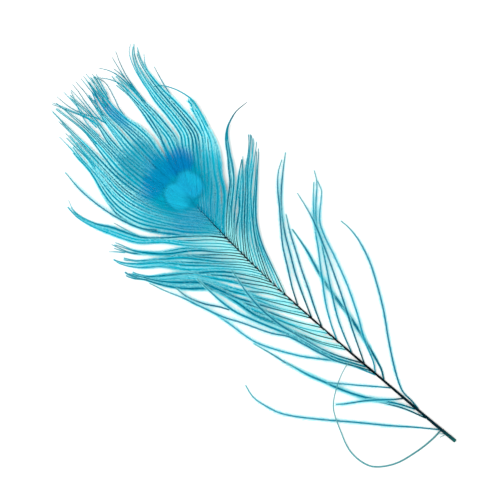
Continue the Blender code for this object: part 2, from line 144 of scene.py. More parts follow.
lamp_data = bpy.data.lights.new("softbox", "AREA")
lamp_data.shape = "DISK"
lamp_data.size = 0.9
lamp_data.energy = 7.5
lamp = bpy.data.objects.new("softbox", lamp_data)
lamp.location = (-0.35, 0.45, 1.0)
lamp.rotation_euler = (math.radians(-24), math.radians(-18), 0)
bpy.context.scene.collection.objects.link(lamp)

# ---- Shaft -------------------------------------------------------------------------------------------------
# The feather's one stiff piece: a keratin quill that tapers into the heart of the eye. It was dyed with the
# rest, so it is near-black teal, and it was cut square at the thick end, where the wall round its pith shows.
SHAFT_LINE = [(-1.1, 0), (-2.2, 20), (-3.4, 50), (-4.5, 75), (-5.2, 100), (-5.7, 130), (-5.0, 160),
              (-3.8, 180), (-2.8, 195), (-1.4, 204)]
SHAFT_LENGTH = SHAFT_LINE[-1][1]
SHAFT_RISE_FROM, SHAFT_RISE_TO = 120.0, 165.0
VANE_HEIGHT, EYE_RISE = 1.1, 1.6
EYE_CENTRE, EYE_HALF_SIZE = np.array((-1.0, 212.0)), np.array((28.0, 38.0))
SHAFT_RADII = [(0, QUILL_RADIUS), (20, 0.78), (50, 0.64), (100, 0.52), (150, 0.40), (180, 0.28),
               (SHAFT_LENGTH, 0.14)]
QUILL_WALL, PITH_DEPTH = 0.22, 2.5


def smooth_line(points, count):
    """count points, evenly spaced, on a smooth curve through the guide points."""
    knots = np.array(points, float)
    knots = np.vstack([2 * knots[0] - knots[1], knots, 2 * knots[-1] - knots[-2]])
    t = np.linspace(0, 1, 13)[:-1, None]
    fine = []
    for before, here, there, after in zip(knots, knots[1:], knots[2:], knots[3:]):
        reach = np.linalg.norm(there - here)
        pull_in = (there - before) * reach / (reach + np.linalg.norm(here - before))
        pull_out = (after - here) * reach / (reach + np.linalg.norm(after - there))
        fine.append(here * (2 * t**3 - 3 * t**2 + 1) + pull_in * (t**3 - 2 * t**2 + t)
                    + there * (3 * t**2 - 2 * t**3) + pull_out * (t**3 - t**2))
    fine = np.vstack(fine + [knots[-2:-1]])
    run = np.concatenate([[0], np.cumsum(np.linalg.norm(np.diff(fine, axis=0), axis=1))])
    want = np.linspace(0, run[-1], count)
    return np.stack([np.interp(want, run, fine[:, i]) for i in range(fine.shape[1])], axis=1)


def line_length(points):
    """Length of the straight runs from point to point."""
    return float(np.linalg.norm(np.diff(np.array(points, float), axis=0), axis=1).sum())


SHAFT_PATH = smooth_line(SHAFT_LINE, 300)


def shaft_x(y):
    return np.interp(y, SHAFT_PATH[:, 1], SHAFT_PATH[:, 0])


def shaft_radius(y):
    return np.interp(y, [row[0] for row in SHAFT_RADII], [row[1] for row in SHAFT_RADII])


def ease(t):
    """0 to 1 as t goes from 0 to 1, level at both ends and past them."""
    t = np.clip(t, 0, 1)
    return t * t * (3 - 2 * t)


def vane_height(points):
    """Height of the vane's middle above the sheet: flat, with a low dome at the eye."""
    off = (points[:, :2] - EYE_CENTRE) / EYE_HALF_SIZE
    return VANE_HEIGHT + EYE_RISE * np.exp(-(off**2).sum(axis=1))


def shaft_height(y):
    """Height of the shaft's axis: it lies on the sheet until it rises into the domed vane."""
    radius = shaft_radius(y)
    risen = ease((y - SHAFT_RISE_FROM) / (SHAFT_RISE_TO - SHAFT_RISE_FROM))
    return radius + risen * (vane_height(np.column_stack([shaft_x(y), y])) - radius)


shaft_curve = bpy.data.curves.new("shaft_line", "CURVE")
shaft_curve.dimensions = "3D"
shaft_curve.bevel_depth = MM                # a point's radius is then in millimetres
shaft_curve.bevel_resolution = 5
shaft_curve.use_fill_caps = True
spline = shaft_curve.splines.new("POLY")
stations = np.linspace(0, SHAFT_LENGTH, 90)
spline.points.add(len(stations) - 1)
for point, y, height in zip(spline.points, stations, shaft_height(stations)):
    point.co = (*at(shaft_x(y), y, height), 1)
    point.radius = shaft_radius(y)
shaft = bpy.data.objects.new("shaft_quill", shaft_curve)
bpy.context.scene.collection.objects.link(shaft)
bpy.context.view_layer.objects.active = shaft
shaft.select_set(True)
bpy.ops.object.convert(target="MESH")
shaft = bpy.context.object
bpy.ops.object.mode_set(mode="EDIT")
bpy.ops.mesh.select_all(action="DESELECT")
bpy.ops.object.mode_set(mode="OBJECT")
for face in shaft.data.polygons:
    face.select = face.center.y < QUILL_END[1] + 0.01 * MM
bpy.ops.object.mode_set(mode="EDIT")
bpy.ops.mesh.select_mode(type="FACE")
bpy.ops.mesh.inset(thickness=QUILL_WALL * MM)
bpy.ops.mesh.extrude_region_move(TRANSFORM_OT_translate={"value": (0, PITH_DEPTH * MM, 0)})
bpy.ops.mesh.select_all(action="SELECT")
bpy.ops.mesh.normals_make_consistent(inside=False)
bpy.ops.object.mode_set(mode="OBJECT")
bpy.ops.object.shade_smooth_by_angle(angle=math.radians(40))

# Horny keratin with a dull sheen, near-black from the dye but paler at the cut end and in the eye. Its grain
# runs along it in streaks about 0.4 mm wide and 10 mm long.
dyed_quill, tree, shader = new_material("dyed_quill_keratin", 0.55, 0.02)
place = add(tree, "ShaderNodeTexCoord")
streaks = add(tree, "ShaderNodeMapping", Vector=place.outputs["Object"], Scale=(1, 0.04, 1))
grain = add(tree, "ShaderNodeTexNoise", Vector=streaks.outputs[0], Scale=2500.0, Detail=3.0)
split = add(tree, "ShaderNodeSeparateXYZ", Vector=place.outputs["Object"])
along = add(tree, "ShaderNodeMapRange", Value=split.outputs["Y"], From_Min=QUILL_END[1],
            From_Max=QUILL_END[1] + SHAFT_LENGTH * MM)
ramp = add(tree, "ShaderNodeValToRGB", Fac=along.outputs[0])
stops = [(0.0, "#1A5C58"), (0.012, "#0E4648"), (0.05, "#02222C"), (0.3, "#000C12"), (0.8, "#00141C"),
         (0.87, "#003448"), (0.95, "#005C80"), (1.0, "#0090B8")]
while len(ramp.color_ramp.elements) < len(stops):
    ramp.color_ramp.elements.new(0.5)
for element, (position, colour) in zip(ramp.color_ramp.elements, stops):
    element.position = position
    element.color = linear(colour)
tint = add(tree, "ShaderNodeMix", {"data_type": "RGBA", "blend_type": "SOFT_LIGHT"}, _0=0.2,
           _6=ramp.outputs[0], _7=grain.outputs["Color"])
tree.links.new(tint.outputs[2], shader.inputs["Base Color"])
bump = add(tree, "ShaderNodeBump", Strength=0.25, Distance=0.05 * MM, Height=grain.outputs["Fac"])
tree.links.new(bump.outputs[0], shader.inputs["Normal"])
shaft.data.materials.clear()
shaft.data.materials.append(dyed_quill)
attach(shaft, "root")
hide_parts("shaft")

# ---- Bare filament and wisps -------------------------------------------------------------------------------
# A barb that lost nearly all its barbules: a wiry thread of keratin that leaves the quill and curls back over
# the others, with two broken wisps beside its root. Every barb is grown the same way, as a four-sided stalk
# with a row of barbules down each side.
MIN_HEIGHT = 0.03                   # no barbule goes through the sheet
SHORTEST_BARBULE = 0.08
STEP = 2.0                          # length of one segment of a stalk
STALK_TAPER = 0.55                  # share of its width that a stalk loses by its tip
UV_MARGIN, UV_SPAN = 0.01, 0.98     # of each map; the stalks' ends lie in its margin

# A barb's barbules: length(share, place) gives the longest, in mm, at a share of the barb and a place on the
# feather. angle is from the stalk in degrees, pitch and width are in mm, tip_width is a share of width and
# shortest a share of length, and lift is how steeply the rows on the stalk's right and on its left rise.
Fringe = namedtuple("Fringe", "length angle pitch width tip_width shortest lift")


class Strands:
    """Barbs gathered as arrays, then made into one mesh. Each barb has its own row of the UV map.

    The corner attribute "barb" holds the share along the barb, how far out on its fringe, and its tone.
    """

    def __init__(self, barbs):
        self.row_height = UV_SPAN / barbs
        self.row_middle = UV_MARGIN + self.row_height / 2
        self.points, self.faces, self.uvs, self.marks = [], [], [], []
        self.point_count = 0

    def put(self, points, faces, uvs, marks):
        self.points.append(points.reshape(-1, 3))
        self.faces.append(faces.reshape(-1, 4) + self.point_count)
        self.uvs.append(uvs.reshape(-1, 2))
        self.marks.append(marks.reshape(-1, 3))
        self.point_count += points.size // 3

    def stalk(self, line, ahead, aside, width, tone, first):
        """A closed four-sided rod that tapers along the line."""
        last = len(line) - 1
        share = np.linspace(0, 1, last + 1)
        half = width / 2 * (1 - STALK_TAPER * share**1.6)[:, None]
        up = np.cross(ahead, aside)
        rings = np.stack([line - aside * half, line + up * half, line + aside * half, line - up * half],
                         axis=1)
        start, side = np.arange(last)[:, None] * 4, np.arange(4)[None, :]
        there = (side + 1) % 4
        walls = np.stack([start + side, start + 4 + side, start + 4 + there, start + there], axis=2)
        ends = np.array([[0, 1, 2, 3], [4 * last + 3, 4 * last + 2, 4 * last + 1, 4 * last]])
        u = UV_MARGIN + UV_SPAN * share
        v = self.row_middle + self.row_height * 0.1 * np.linspace(-1, 1, 5)
        uvs = np.empty((last, 4, 4, 2))
        uvs[..., 0] = np.stack([u[:-1], u[1:], u[1:], u[:-1]], axis=1)[:, None, :]
        uvs[..., 1] = np.stack([v[:-1], v[:-1], v[1:], v[1:]], axis=1)[None, :, :]
        end_uvs = np.empty((2, 4, 2))
        end_uvs[..., 0] = [[0, 0, 0.008, 0.008], [1, 1, 0.992, 0.992]]
        end_uvs[..., 1] = [[v[0], v[-1], v[-1], v[0]]] * 2
        marks = np.zeros((last, 4, 4, 3))
        along = first + (1 - first) * share
        marks[..., 0] = np.stack([along[:-1], along[1:], along[1:], along[:-1]], axis=1)[:, None, :]
        end_marks = np.zeros((2, 4, 3))
        end_marks[:, :, 0] = [[first], [1]]
        marks, end_marks = marks.reshape(-1, 3), end_marks.reshape(-1, 3)
        marks = np.vstack([marks, end_marks])
        marks[:, 2] = tone
        self.put(rings, np.vstack([walls.reshape(-1, 4), ends]),
                 np.vstack([uvs.reshape(-1, 2), end_uvs.reshape(-1, 2)]), marks)

    def barbules(self, line, ahead, aside, side, tone, first, fringe, rng):
        """A row of flat barbules, on the stalk's left as it grows for a side of 1, on its right for -1."""
        length = line_length(line)
        number = int(length / fringe.pitch)
        share = (np.arange(number) + rng.uniform(0.25, 0.75, number)) / number
        knots = np.linspace(0, 1, len(line))
        base = np.stack([np.interp(share, knots, line[:, i]) for i in range(3)], axis=1)
        stature = rng.uniform(fringe.shortest, 1, number)
        reach = fringe.length(share, base) * stature
        kept = reach > SHORTEST_BARBULE
        share, base, stature, reach = share[kept], base[kept], stature[kept], reach[kept, None]
        number = len(share)
        step = np.minimum((share * (len(line) - 1)).astype(int), len(line) - 2)
        fore, out = ahead[step], aside[step] * side
        lean = np.radians(fringe.angle + 5 * rng.standard_normal((number, 1)))
        rise = fringe.lift[0 if side < 0 else 1] + 0.1 * rng.standard_normal((number, 1))
        width = fringe.width * rng.uniform(0.8, 1.2, (number, 1))
        tip = base + reach * (fore * np.cos(lean) + (out + np.array([0, 0, 1]) * rise) * np.sin(lean))
        half = fore * width / 2
        corners = [base - half, base + half, tip + half * fringe.tip_width, tip - half * fringe.tip_width]
        points = np.stack(corners[::side], axis=1)
        points[:, :, 2] = np.maximum(points[:, :, 2], MIN_HEIGHT)
        u = UV_MARGIN + UV_SPAN * share
        u_half, u_run = width[:, 0] / length / 2, (reach * np.cos(lean))[:, 0] / length
        v_base = self.row_middle + side * self.row_height * 0.12
        v_tip = self.row_middle + side * self.row_height * 0.48
        uvs = np.stack([[u - u_half, u + u_half, u + u_run + u_half / 2, u + u_run - u_half / 2],
                        [np.full(number, v) for v in (v_base, v_base, v_tip, v_tip)]], axis=2)
        marks = np.zeros((number, 4, 3))
        marks[:, :, 0] = first + (1 - first) * share[:, None]
        marks[:, :2, 1] = 0.15
        marks[:, 2:, 1] = stature[:, None]
        marks[:, :, 2] = tone + rng.uniform(-0.15, 0.15, (number, 1))
        uvs = np.clip(uvs.transpose(1, 0, 2), 0, 1)
        self.put(points, np.arange(number * 4), uvs[:, ::side], marks[:, ::side])

    def barb(self, line, width, fringe, rng, first=0.0):
        """One barb along line, n x 3 mm, with a stalk as wide as width at its root.

        first is the share of the whole barb that lies out of sight before the line.
        """
        tone = rng.random()
        ahead = np.gradient(line, axis=0)
        ahead /= np.linalg.norm(ahead, axis=1, keepdims=True)
        aside = np.stack([-ahead[:, 1], ahead[:, 0], np.zeros(len(line))], axis=1)
        aside /= np.linalg.norm(aside, axis=1, keepdims=True)
        self.stalk(line, ahead, aside, width, tone, first)
        for side in (-1, 1):
            self.barbules(line, ahead, aside, side, tone, first, fringe, rng)
        self.row_middle += self.row_height

    def finish(self, name, material, nodes=()):
        """Make the gathered barbs one piece, in place of the nodes."""
        x, y, z = np.vstack(self.points).T
        faces = np.vstack(self.faces)
        mesh = bpy.data.meshes.new(name)
        mesh.vertices.add(len(x))
        mesh.vertices.foreach_set("co", np.stack(at(x, y, z), axis=1).ravel())
        mesh.loops.add(faces.size)
        mesh.loops.foreach_set("vertex_index", faces.ravel())
        mesh.polygons.add(len(faces))
        mesh.polygons.foreach_set("loop_start", np.arange(len(faces)) * 4)
        mesh.update(calc_edges=True)
        mesh.uv_layers.new(name="OFBake").data.foreach_set("uv", np.vstack(self.uvs).ravel())
        marks = mesh.attributes.new("barb", "FLOAT_VECTOR", "CORNER")
        marks.data.foreach_set("vector", np.vstack(self.marks).ravel())
        mesh.validate()
        mesh.shade_smooth()
        mesh.materials.append(material)
        piece = bpy.data.objects.new(name, mesh)
        bpy.context.scene.collection.objects.link(piece)
        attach(piece, "root")
        if nodes:
            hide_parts(*nodes)


IN_COLOUR = {"data_type": "RGBA"}   # settings of a node that mixes two colours


def dyed_keratin(name, root, stalk, deep, thread, painted_light, tip, root_share, pale_from=0.5, pale_root=0.0,
                 pattern=None):
    """Barb keratin from one bath of turquoise dye: matt, and uneven from barb to barb.

    A stalk goes from root to stalk over its first root_share, not all alike, and its worn end is a greyer
    teal. The barbules go from deep to thread, patch by patch. Outwards of pale_from they turn light cyan, and
    that light cyan is painted light: it stands for light shining through the thin barbules and for the lit
    sheet seen between barbs. pale_root is how much of the same painted light they have by the shaft.
    """
    material, tree, shader = new_material(name, 0.7, 0.02)
    mark = add(tree, "ShaderNodeAttribute", {"attribute_name": "barb"})
    along, across, tone = add(tree, "ShaderNodeSeparateXYZ", Vector=mark.outputs["Vector"]).outputs
    place = add(tree, "ShaderNodeTexCoord").outputs["Object"]
    # each barb took the dye a little differently, and so did patches about 5 mm wide
    patches = add(tree, "ShaderNodeTexNoise", Vector=place, Scale=200.0, Detail=2.0)
    uneven = add(tree, "ShaderNodeMath", {"operation": "MULTIPLY_ADD"}, _0=patches.outputs["Fac"], _1=0.7,
                 _2=tone)
    level = add(tree, "ShaderNodeMapRange", Value=uneven.outputs[0], From_Min=0.15, From_Max=1.25)
    colour = add(tree, "ShaderNodeMix", IN_COLOUR, _0=level.outputs[0], _6=linear(deep),
                 _7=linear(thread)).outputs[2]
    # painted light: the barbules' outer part, and their roots by the shaft, are painted light cyan for light
    # through thin barbules and the lit sheet between barbs
    outer = add(tree, "ShaderNodeMapRange", Value=across, From_Min=pale_from, From_Max=pale_from + 0.5)
    inner = add(tree, "ShaderNodeMapRange", Value=along, From_Min=0.08, From_Max=0.3, To_Min=pale_root,
                To_Max=0.0)
    painted_light_mask = add(tree, "ShaderNodeMath", {"operation": "MAXIMUM"}, _0=outer.outputs[0],
                   _1=inner.outputs[0]).outputs[0]
    stem_share = add(tree, "ShaderNodeMapRange", Value=along, From_Min=0.02, From_Max=root_share)
    stem = add(tree, "ShaderNodeMix", IN_COLOUR, _0=stem_share.outputs[0], _6=linear(root),
               _7=linear(stalk)).outputs[2]
    if pattern:
        colour, painted_light_mask, stem = pattern(tree, place, tone, colour, painted_light_mask, stem)
    faint = add(tree, "ShaderNodeMapRange", Value=tone, From_Min=0.2, From_Max=1.0, To_Max=0.6)
    stem = add(tree, "ShaderNodeMix", IN_COLOUR, _0=faint.outputs[0], _6=stem,
               _7=colour).outputs[2]
    worn = add(tree, "ShaderNodeMapRange", {"interpolation_type": "SMOOTHSTEP"}, Value=along, From_Min=0.85,
               From_Max=1.0, To_Max=0.8)
    stem = add(tree, "ShaderNodeMix", IN_COLOUR, _0=worn.outputs[0], _6=stem, _7=linear(tip))
    fringe = add(tree, "ShaderNodeMix", IN_COLOUR, _0=painted_light_mask, _6=colour, _7=linear(painted_light))
    is_fringe = add(tree, "ShaderNodeMapRange", Value=across, From_Min=0.0, From_Max=0.25)
    barb = add(tree, "ShaderNodeMix", IN_COLOUR, _0=is_fringe.outputs[0], _6=stem.outputs[2],
               _7=fringe.outputs[2])
    tree.links.new(barb.outputs[2], shader.inputs["Base Color"])
    return material


def bare(share, place):
    """A worn barb's barbules are broken short, most of all by its root."""
    return 0.2 + 1.2 * ease(share / 0.4)


FILAMENT = [(-2.0, 9.9, 0.8), (-9, 9.9, 0.5), (-20, 11.6, 0.3), (-32.7, 15.7, 0.3), (-42, 23.2, 0.3),
            (-44.7, 31, 0.4), (-44.2, 40, 0.8), (-40, 50, 1.5), (-34.7, 60, 2.2), (-30, 64.7, 2.9),
            (-20, 70, 3.4), (-12, 72.5, 3.7), (-8, 72.7, 3.8)]
WISPS = [[(-1.5, 6.3, 0.8), (-3.2, 6.8, 0.7), (-5.4, 7.5, 0.5)],
         [(-1.6, 6.9, 0.9), (-2.8, 7.8, 0.8), (-3.9, 9, 0.7)]]
FILAMENT_WIDTH, WISP_WIDTH = 0.95, 0.4
STUMPS = Fringe(bare, angle=25, pitch=0.25, width=0.08, tip_width=0.5, shortest=0.3, lift=(0.2, 0.0))
rng = np.random.default_rng(5)
threads = Strands(1 + len(WISPS))
threads.barb(smooth_line(FILAMENT, 90), FILAMENT_WIDTH, STUMPS, rng)
for wisp in WISPS:
    threads.barb(smooth_line(wisp, 8), WISP_WIDTH, STUMPS, rng)
# the light cyan of the barbules' outer part is painted light, for light through thin barbules and the lit sheet
# between them
BARE_DYE = dyed_keratin("worn_barb_keratin", root="#000C10", stalk="#2E7078", deep="#3E98A0",
                        thread="#66BCC2", painted_light="#9CE4E6", tip="#5A989C", root_share=0.5)
threads.finish("filament_thread", BARE_DYE, ["filament"])

# ---- Loose barbs -------------------------------------------------------------------------------------------
# Below the vane the barbs stand apart, and some were bent or broken when the feather was dyed and packed.
# Each is a dark teal stalk with a light cyan fringe, and that light cyan is painted light: light shining
# through thin barbules and the lit sheet seen between them. Life has some twenty barbules to the millimetre.
# Here they are drawn at 12, and at 8 in the vane and the eye, and wider to match.
LEFT, RIGHT = -1, 1
# One row each: node, side, root's y, heights at root, middle and tip, points. Those with no side come out
# from under other barbs.
LOOSE_BARBS = [
    ("left_barb_sweeping", LEFT, 10.7, (0.9, 0.6, 0.25),
     [(-10, 20.7), (-20, 33), (-30, 46.2), (-46, 66.8), (-55, 80.5), (-58.6, 93), (-58.9, 99),
      (-57.1, 105.5)]),
    ("left_barb_low_a", LEFT, 20.5, (0.8, 0.6, 0.3),
     [(-7, 32.5), (-12, 42.5), (-18, 53), (-23, 66.5), (-28, 81), (-32.3, 95), (-34.7, 107), (-37.2, 118)]),
    ("left_barb_low_b", LEFT, 28.0, (0.8, 1.4, 1.2),
     [(-6.5, 35.5), (-12, 45), (-17, 53), (-22, 63.5), (-26, 75), (-29.5, 85), (-32.3, 97)]),
    ("left_barb_broken_low", LEFT, 37.0, (0.8, 2.2, 2.2),
     [(-7, 40.5), (-15, 48.5), (-20, 53), (-27, 58.5), (-30.7, 62)]),
    ("left_barb_broken_high", LEFT, 46.0, (0.8, 2.2, 2.2),
     [(-7, 50.5), (-15, 60.5), (-18, 64.5), (-22, 69.5), (-25, 73.5)]),
    ("left_barb_long_a", LEFT, 57.0, (0.8, 1.2, 0.5),
     [(-8, 67), (-12, 76), (-18.5, 85.5), (-25, 95), (-33, 110.5), (-36.5, 120.5), (-38.5, 137.5),
      (-40.5, 148.5), (-44.1, 158.5)]),
    ("left_barb_long_b", LEFT, 60.5, (0.8, 2.9, 2.6),
     [(-8.4, 69), (-12.6, 77), (-16.2, 88), (-18.6, 97.5), (-21.2, 106.6), (-26.3, 115), (-33, 130.5),
      (-37.5, 140), (-41.5, 152), (-45, 163.5), (-49, 174), (-51.6, 182.5)]),
    ("left_barb_long_c", LEFT, 64.0, (0.8, 2.0, 2.2),
     [(-8.5, 72), (-12, 79.5), (-15.2, 88.5), (-17.2, 97), (-19.8, 106.5), (-23.2, 115.5), (-28, 128.5),
      (-31, 138), (-32.1, 150), (-32, 165)]),
    ("left_barb_long_d", LEFT, 67.5, (0.8, 2.0, 2.2),
     [(-8.2, 74.5), (-11.4, 81.5), (-14, 89), (-16, 97.5), (-17.9, 106), (-19.6, 115), (-20.3, 128),
      (-19, 140), (-15.5, 154.5)]),
    ("left_barb_forked", None, None, (2.0, 2.0, 1.9),
     [(-32.6, 140.5), (-35, 145.5), (-39.5, 153), (-43, 162), (-43.7, 170)]),
    ("left_barb_upright", None, None, (3.1, 2.0, 1.2),
     [(-27.5, 199.5), (-32.5, 206.5), (-36.3, 216.5), (-39, 230), (-39.9, 245), (-38.5, 258)]),
    ("right_barb_sweeping", RIGHT, 27.0, (0.8, 0.6, 0.3),
     [(-1.1, 32.5), (-0.6, 40), (5, 50.7), (15, 65), (25, 78), (34, 92), (40, 103), (44.2, 115),
      (45.4, 123), (45.2, 128.5)]),
    ("right_barb_crossing", RIGHT, 52.0, (0.8, 0.5, 0.4),
     [(0.2, 57), (4.5, 70.5), (9, 87.5), (11.2, 99), (15, 116), (20.2, 131.5), (23.5, 145)]),
    ("right_barb_long_a", RIGHT, 58.0, (0.8, 1.4, 0.8),
     [(0.3, 62.8), (5.5, 74), (13.5, 87), (21.5, 102), (28.5, 118.4), (32.6, 129), (37, 137), (46.5, 144.8),
      (50, 147.7), (52.5, 153)]),
    ("right_barb_long_b", RIGHT, 66.0, (0.8, 2.2, 1.6),
     [(0, 73), (5, 82.5), (13, 96.5), (20, 109.5), (28.5, 126), (34.5, 139), (37.5, 147.5), (40, 156.5)]),
    ("right_barb_long_c", RIGHT, 75.0, (0.8, 1.4, 0.8),
     [(0, 84.5), (5.5, 95), (14, 107.5), (23, 120), (29, 128.3), (35, 137.6), (42.5, 145), (51.5, 152.6),
      (55.5, 158.2)]),
    ("right_barb_long_d", RIGHT, 86.0, (0.8, 1.4, 0.8),
     [(0, 94.5), (6.5, 104.5), (15, 115), (25, 127), (31, 134.6), (37.5, 142), (44, 148.4), (50.5, 154)]),
    ("right_barb_middle_a", RIGHT, 97.0, (0.8, 1.0, 0.8),
     [(0, 106.5), (5, 115.5), (10.5, 126), (16, 135.5), (21.5, 145), (27.2, 153.2)]),
    ("right_barb_middle_b", RIGHT, 104.5, (0.8, 1.0, 0.6),
     [(0, 114.5), (6, 126), (12, 135.5), (20.5, 148.5), (30, 159.5), (40, 168), (52, 176.7)]),
    ("right_barb_middle_c", RIGHT, 114.5, (0.8, 1.8, 1.6),
     [(0, 123.5), (6.5, 133), (13, 142.5), (20, 150.5), (27.5, 158.5), (35, 166.8), (41.5, 172.3),
      (47.7, 175.4)]),
]
# each of these is two barbs that cling at their ends and part in the middle
TWINS = ("left_barb_low_b", "left_barb_broken_low", "left_barb_long_c", "right_barb_crossing")
TWIN_GAP = 0.8
TWIN_SIDEWAYS = np.array([0.8, -0.6, 0.1])
HIDDEN_SHARE = 0.5                  # of a barb that comes out from under others
LOOSE_STALK = 0.78


def root(side, y):
    """Where a barb leaves the side of the shaft."""
    return np.array((shaft_x(y) + side * shaft_radius(y) * 0.8, y))


def loose_line(side, root_y, heights, points):
    """The stalk of a loose barb, as n x 3 mm."""
    guide = points if side is None else [tuple(root(side, root_y))] + points
    count = int(line_length(guide) / STEP) + 1
    share = np.linspace(0, 1, count)
    at_root, in_middle, at_tip = heights
    height = at_root + (in_middle - at_root) * ease(share / 0.15)
    height += (at_tip - in_middle) * ease((share - 0.6) / 0.4)
    return np.column_stack([smooth_line(guide, count), height])


def whole_fringe(share, place):
    """Short at the root, full along the barb and short again at the tip."""
    return 3.3 * (0.4 + 0.6 * ease(share / 0.25)) * (1 - 0.6 * ease((share - 0.75) / 0.25))


def broken_fringe(share, place):
    """Nearly full to the broken end."""
    return 2.8 * (0.3 + 0.7 * ease(share / 0.25)) * (1 - 0.3 * ease((share - 0.8) / 0.2))


WHOLE = Fringe(whole_fringe, angle=32, pitch=0.085, width=0.12, tip_width=0.5, shortest=0.15,
               lift=(0.15, -0.05))
BROKEN = WHOLE._replace(length=broken_fringe)
# the light cyan of the fringe is painted light, for light through thin barbules and the lit sheet between them
LOOSE_DYE = dyed_keratin("dyed_loose_barb_keratin", root="#002630", stalk="#00607A", deep="#007C98",
                         thread="#0EA4BE", painted_light="#94F4FA", tip="#3E7A78", root_share=0.25, pale_from=0.2)
rng = np.random.default_rng(23)
for group in ("left", "right"):
    rows = [row for row in LOOSE_BARBS if row[0].startswith(group)]
    barbs = Strands(len(rows) + sum(row[0] in TWINS for row in rows))
    for name, side, root_y, heights, points in rows:
        fringe = BROKEN if "broken" in name else WHOLE
        line = loose_line(side, root_y, heights, points)
        for twin in range(2 if name in TWINS else 1):
            aside = TWIN_GAP * twin * np.sin(np.linspace(0.2, 3.0, len(line)))
            twin_line = line + aside[:, None] * TWIN_SIDEWAYS * (side or LEFT)
            barbs.barb(twin_line, LOOSE_STALK, fringe, rng, 0.0 if side else HIDDEN_SHARE)
    barbs.finish(f"loose_barbs_{group}", LOOSE_DYE, [row[0] for row in rows])

# ---- Vane --------------------------------------------------------------------------------------------------
# Towards the eye the barbs cling side by side in locks. Each lock is given by its two edge barbs, and the
# barbs between them share the space, drift together towards a few common tips and end at different lengths.
# One row each: node, side, roots' y, tip height, lower or outer edge, upper or inner edge.
VANE_LOCKS = [
    ("left_lock_a", LEFT, 78.5, 136.0, 0.3,
     [(-11, 89), (-16, 101.5), (-21, 116), (-25.2, 127), (-27, 140), (-30, 153.5), (-38, 163), (-43.5, 170),
      (-48, 177.5), (-51.2, 184), (-55.5, 192), (-57.1, 198.5)],
     [(-9, 142), (-14, 149), (-19, 155.5), (-24, 161.5), (-29, 166.8), (-33, 171), (-37, 175.3),
      (-41, 179), (-45, 182.6), (-50, 186.8), (-54.5, 191.7), (-56.3, 198.3)]),
    ("left_lock_b", LEFT, 136.0, 150.0, 0.4,
     [(-9, 142), (-14, 149), (-19, 155.5), (-24, 161.5), (-29, 166.8), (-33, 171.6), (-40, 183.6),
      (-44, 187.5), (-50, 193), (-55, 200.5), (-56.1, 207.7)],
     [(-9, 155), (-14, 161), (-19, 167), (-24, 173), (-29, 178.8), (-33.5, 183.2), (-40.3, 190),
      (-46.6, 196.5), (-51.8, 203.6), (-55, 208.2)]),
    ("left_lock_c", LEFT, 150.0, 160.0, 1.2,
     [(-9, 155), (-14, 161), (-19, 167), (-24, 173), (-29, 178.8), (-33.2, 183.8), (-39, 192.5),
      (-46.5, 201), (-50.7, 210.5), (-52, 213.7)],
     [(-9, 165), (-14, 171), (-18.5, 176), (-23, 180), (-31, 186.5), (-38, 193.5), (-43.2, 200.5),
      (-46, 206), (-49, 212.5), (-50.4, 214.7)]),
    ("left_lock_d", LEFT, 160.0, 169.0, 0.5,
     [(-9, 165), (-14, 171), (-18.5, 176), (-22.5, 181), (-30, 192), (-37, 199), (-40, 202.5), (-43.5, 209),
      (-49.5, 224), (-52.2, 235.5), (-51.4, 246)],
     [(-9.5, 175.5), (-14, 180.5), (-18.5, 185), (-22.5, 188.8), (-29, 195), (-35, 202), (-38.5, 209),
      (-42.6, 219), (-47.5, 227.5), (-50.2, 238), (-49.5, 246)]),
    ("right_lock_curl", RIGHT, 162.5, 169.0, 4.8,
     [(0, 168), (6.5, 174.2), (13, 179.5), (20.8, 186), (26.5, 192.5), (30.5, 198.6), (35.4, 204.6),
      (40.6, 208.6), (47, 210.6), (50.5, 211), (57.5, 210.2)],
     [(0.5, 173.8), (6, 178.5), (11, 182.3), (18.8, 187.8), (24.3, 194.2), (29.6, 200), (34.4, 205.6),
      (40, 209.8), (47, 212), (50.5, 212.3), (57.5, 211.2)]),
    ("right_lock_d", RIGHT, 154.0, 162.5, 0.8,
     [(-1, 158.5), (4, 163.5), (9, 168), (14, 172.5), (19, 177.2), (24, 182.2), (31, 189.2), (35.9, 194.1)],
     [(0, 168), (6.5, 174.2), (12.5, 178.6), (17, 181.8), (24, 186.4), (30.5, 191.1), (35.1, 194.9)]),
    ("right_lock_c", RIGHT, 147.0, 154.0, 0.6,
     [(-2, 152), (1.5, 157), (5.5, 161.8), (10, 166.3), (15, 171), (20, 175.6), (30, 184.5), (37, 189.6),
      (43, 194.5), (48.4, 200.9)],
     [(-1, 158.5), (4, 163.5), (9, 168), (14, 172.5), (19, 176.9), (24, 181), (30, 186.4), (37, 191.2),
      (42.6, 196), (47.6, 201.5)]),
    ("right_lock_b", RIGHT, 137.0, 147.0, 0.6,
     [(-3, 142), (0, 147.5), (3, 152.5), (6.5, 157.5), (10, 161.7), (14, 166), (18, 170), (25, 176.6),
      (35, 184.8), (41.5, 190), (45.5, 193.2), (48.6, 197.6)],
     [(-2, 152), (1.5, 157), (5.5, 161.8), (10, 166.3), (15, 171), (20, 175.2), (30, 183), (35, 186.9),
      (41, 191.7), (44.7, 194.6), (47.6, 198)]),
    ("right_lock_a", RIGHT, 124.0, 137.0, 0.3,
     [(-2, 132), (1.5, 141), (5.5, 150.5), (10.5, 159), (15, 164.5), (22, 171), (32, 179), (40, 185),
      (45.5, 189.8)],
     [(-3, 142), (0, 147.5), (3, 152.5), (6.5, 157.5), (10, 161.7), (14, 166), (18, 169.8), (25, 175.3),
      (32.5, 180.9), (40.5, 187), (44.9, 190.4)]),
]
